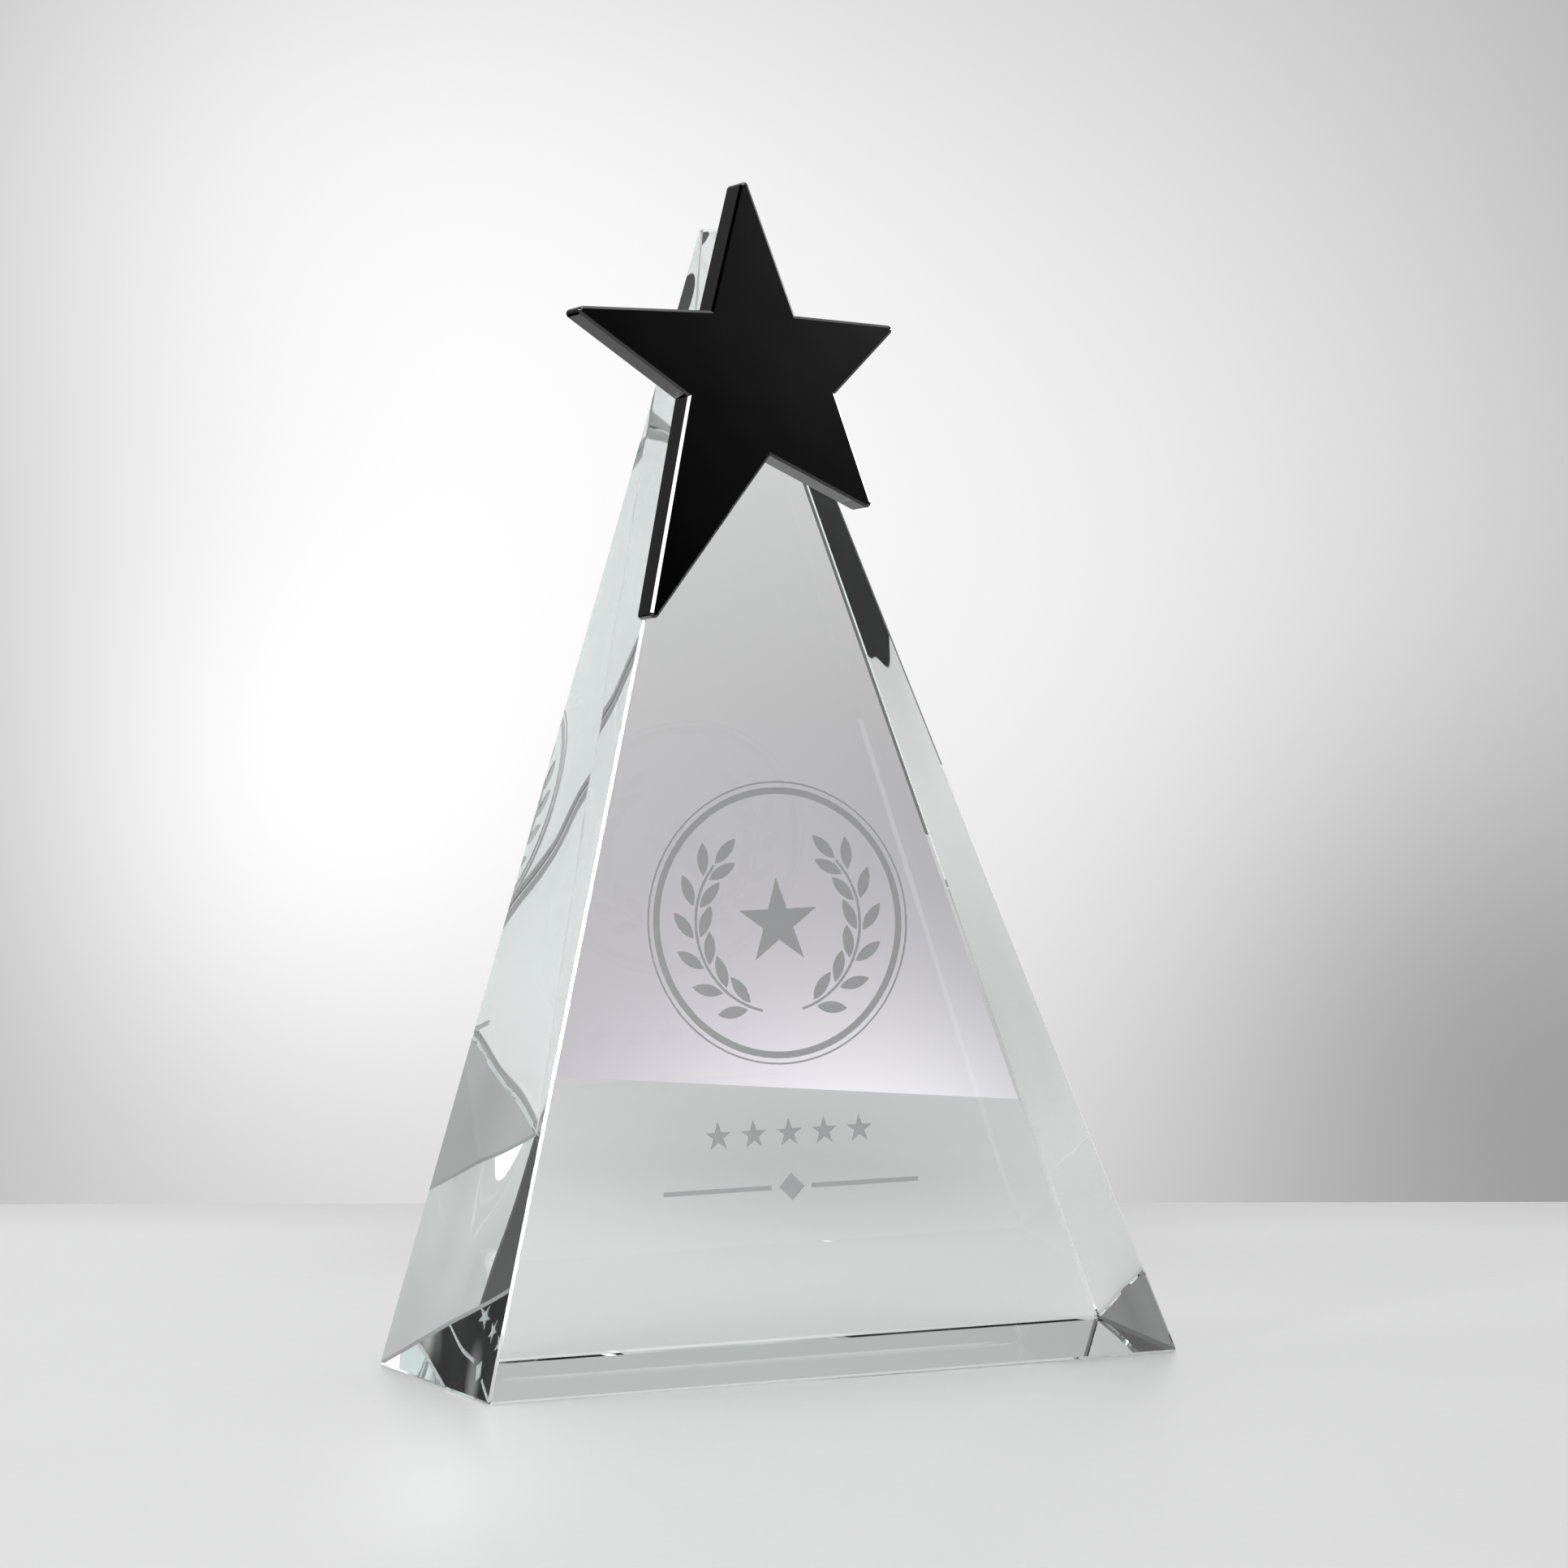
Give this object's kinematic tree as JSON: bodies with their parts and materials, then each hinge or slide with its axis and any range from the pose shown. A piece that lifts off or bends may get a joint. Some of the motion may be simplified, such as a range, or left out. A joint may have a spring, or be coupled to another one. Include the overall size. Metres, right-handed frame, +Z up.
{
  "type": "star trophy",
  "caption": "Tall tapered clear-crystal award that stands on its own flat base, with a black star whose lower left arm runs long, bonded to the top of its engraved front face.",
  "frame": {"origin": "centre of the flat base, on the surface that the trophy stands on", "axes": "+Z up, the engraved front face looks towards -Y, +X to the right as seen from the front"},
  "size_m": [0.1452, 0.0568, 0.2289],
  "materials": {
    "clear_crystal": "polished optical crystal, sandblasted where engraved",
    "black_glass": "polished opaque black glass",
    "bonding_adhesive": "clear cured adhesive, black all over because the black plate shows through it"
  },
  "bodies": {
    "root": {"crystal_block": "clear_crystal", "star_plate": "black_glass", "bond_film": "bonding_adhesive"}
  },
  "joints": []
}
